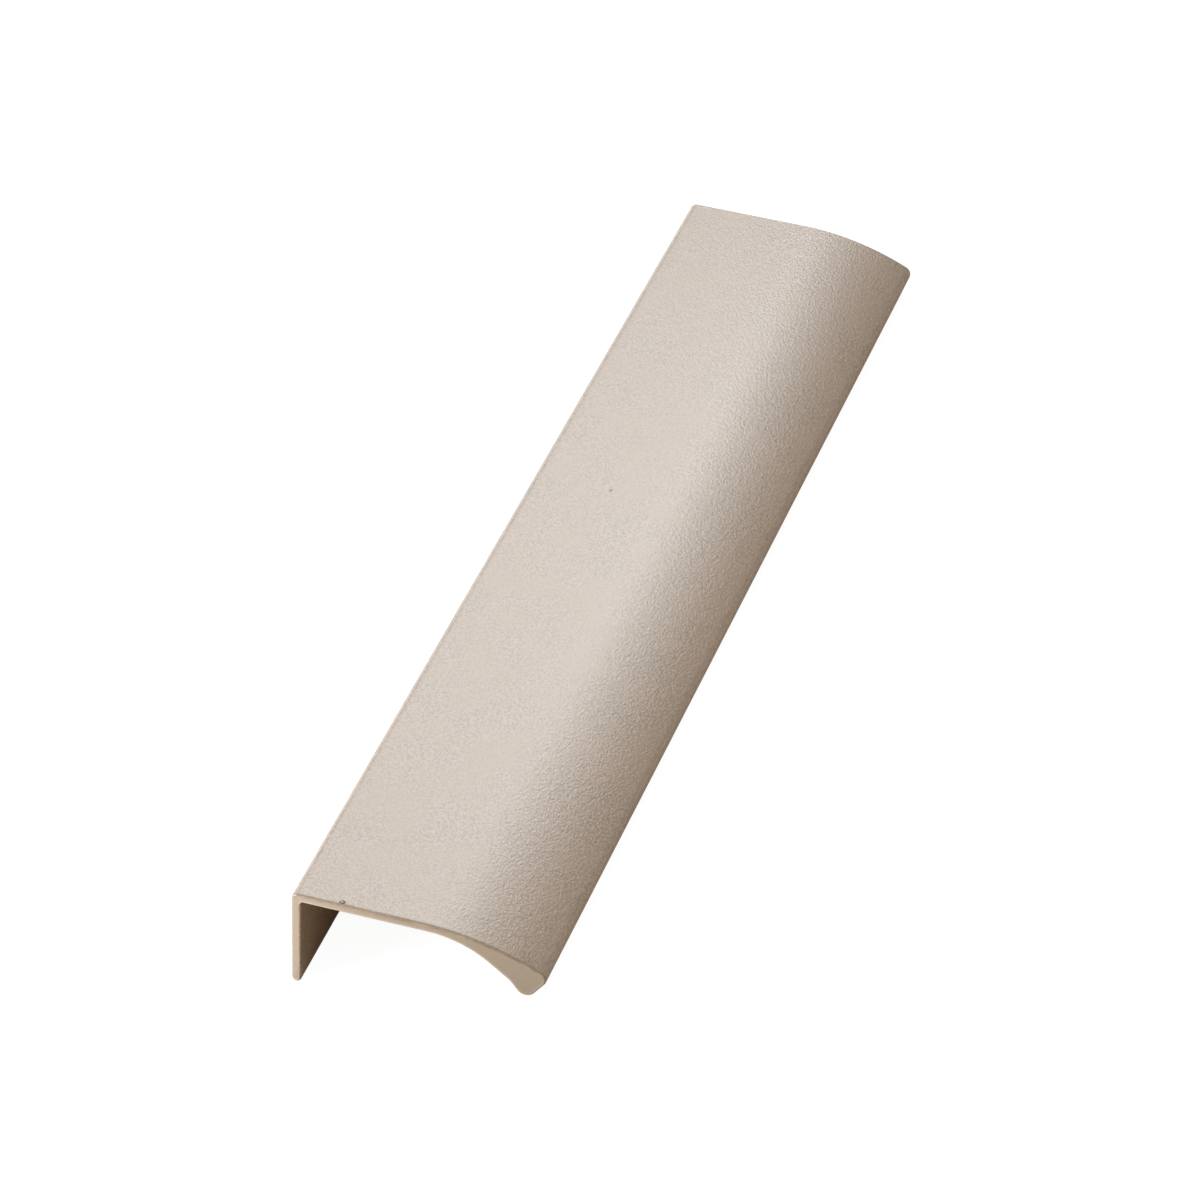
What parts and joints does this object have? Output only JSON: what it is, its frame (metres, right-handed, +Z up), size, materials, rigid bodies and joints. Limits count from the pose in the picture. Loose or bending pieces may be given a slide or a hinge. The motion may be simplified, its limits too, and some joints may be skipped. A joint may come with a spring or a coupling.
{
  "type": "finger pull profile",
  "caption": "Handleless finger pull for a drawer or door edge: a coated extrusion with a back flange, a flat top and a curved lip to grip from below.",
  "frame": {"origin": "on the floor, under the middle of the part's box, as it lies on the foot of its flange and the nose of its lip", "axes": "+Y along the length, +X from the flange towards the lip, +Z up from the floor; the flat top leans forward by about 12 degrees"},
  "size_m": [0.0414, 0.2, 0.0166],
  "materials": {
    "powder_coat": "fine-textured matt sand powder coat on extruded aluminium, smoother and thinner on the cut ends"
  },
  "bodies": {
    "root": {"finger_pull_profile": "powder_coat"}
  },
  "joints": []
}
